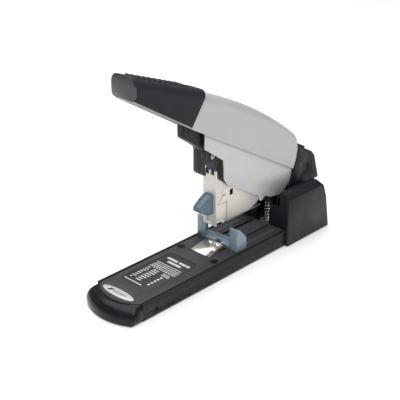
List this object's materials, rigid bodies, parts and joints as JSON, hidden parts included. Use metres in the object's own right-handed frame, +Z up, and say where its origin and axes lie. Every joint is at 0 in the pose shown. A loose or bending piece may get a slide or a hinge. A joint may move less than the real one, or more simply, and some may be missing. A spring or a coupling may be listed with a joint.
{
  "type": "heavy-duty stapler",
  "caption": "Long-arm desk stapler for thick stacks, with a sprung arm and handle, a front-loading drawer, an anvil plate and a sliding depth guide.",
  "frame": {"origin": "underside of the base, on its centre line, below the line of the staple driver", "axes": "+X towards the rear housing, +Y to the far side, +Z up"},
  "size_m": [0.2945, 0.0684, 0.2195],
  "materials": {
    "black_paint": "satin black paint",
    "charcoal_plastic": "fine matt texture",
    "black_gloss_plastic": "semi-gloss",
    "black_plastic": "fine matt texture",
    "badge_plate": "satin light grey plate",
    "label_film": "matt printed film",
    "tool_steel": "ground dark steel",
    "bright_nickel": "polished nickel",
    "nickel_plate": "satin nickel plate",
    "dark_screws": "blackened steel",
    "foot_rubber": "matt rubber",
    "zinc_steel": "zinc-plated steel",
    "spring_wire": "bright spring wire",
    "blue_plastic": "pale blue-grey plastic",
    "slate_plastic": "slate-blue plastic",
    "silver_paint": "satin silver paint",
    "grip_rubber": "soft matt rubber",
    "staple_wire": "galvanised staple wire"
  },
  "bodies": {
    "base": {"base_channel": "black_paint", "base_bottom_plate": "black_paint", "base_top_cover": "charcoal_plastic", "toe_cap": "black_gloss_plastic", "name_badge": "badge_plate", "instruction_plate": "label_film", "anvil_block": "tool_steel", "anvil_plate": "bright_nickel", "cover_screws": "dark_screws", "depth_scales": "label_film", "rubber_sole": "foot_rubber", "tower_bracket": "zinc_steel", "rear_housing": "black_plastic", "main_pivot_pin": "zinc_steel", "pivot_clips": "dark_screws", "spring_seat": "zinc_steel", "arm_return_spring": "spring_wire"},
    "guide": {"paper_guide": "blue_plastic", "guide_runner": "blue_plastic"},
    "arm": {"arm_body": "silver_paint", "arm_rear_cap": "black_plastic", "magazine_shell": "nickel_plate", "magazine_spacers": "zinc_steel", "track_end_plate": "zinc_steel", "spring_top_cup": "black_paint", "handle_return_spring": "spring_wire", "staple_track": "zinc_steel", "staple_strip": "staple_wire", "drawer_front": "nickel_plate", "drawer_rails": "zinc_steel", "drawer_knob": "slate_plastic"},
    "handle": {"handle_frame": "zinc_steel", "handle_cover": "silver_paint", "handle_grip": "grip_rubber", "handle_end_cap": "black_gloss_plastic", "drive_lever": "black_paint", "lever_rivets": "zinc_steel", "cover_posts": "zinc_steel", "drive_link_pin": "zinc_steel"},
    "driver": {"driver_plate": "tool_steel", "driver_head": "tool_steel"},
    "pusher": {"staple_pusher": "black_plastic", "pusher_coil_spring": "spring_wire"}
  },
  "joints": [
    {"name": "arm_swing", "type": "hinge", "parent": "base", "child": "arm", "pos_m": [0.128, 0, 0.066], "axis": [0, -1, 0], "range_deg": [0, 10.1], "stiffness_Nm_per_rad": 10, "springref_deg": -17.19, "deforming": ["arm_return_spring"]},
    {"name": "handle_press", "type": "hinge", "parent": "arm", "child": "handle", "pos_m": [0.128, 0, 0.066], "axis": [0, -1, 0], "range_deg": [0, 9.5], "stiffness_Nm_per_rad": 6, "springref_deg": -14.32, "deforming": ["handle_return_spring"]},
    {"name": "driver_stroke", "type": "slide", "parent": "arm", "child": "driver", "axis": [0, 0, -1], "range_m": [0, 0.0228]},
    {"name": "pusher_slide", "type": "slide", "parent": "arm", "child": "pusher", "axis": [1, 0, 0], "range_m": [0, 0.025], "stiffness_N_per_m": 20, "springref_m": -0.05},
    {"name": "guide_slide", "type": "slide", "parent": "base", "child": "guide", "axis": [1, 0, 0], "range_m": [0, 0.045]}
  ],
  "couplings": [
    {"joint": "driver_stroke", "follows": "handle_press", "m_per_rad": 0.1366}
  ]
}
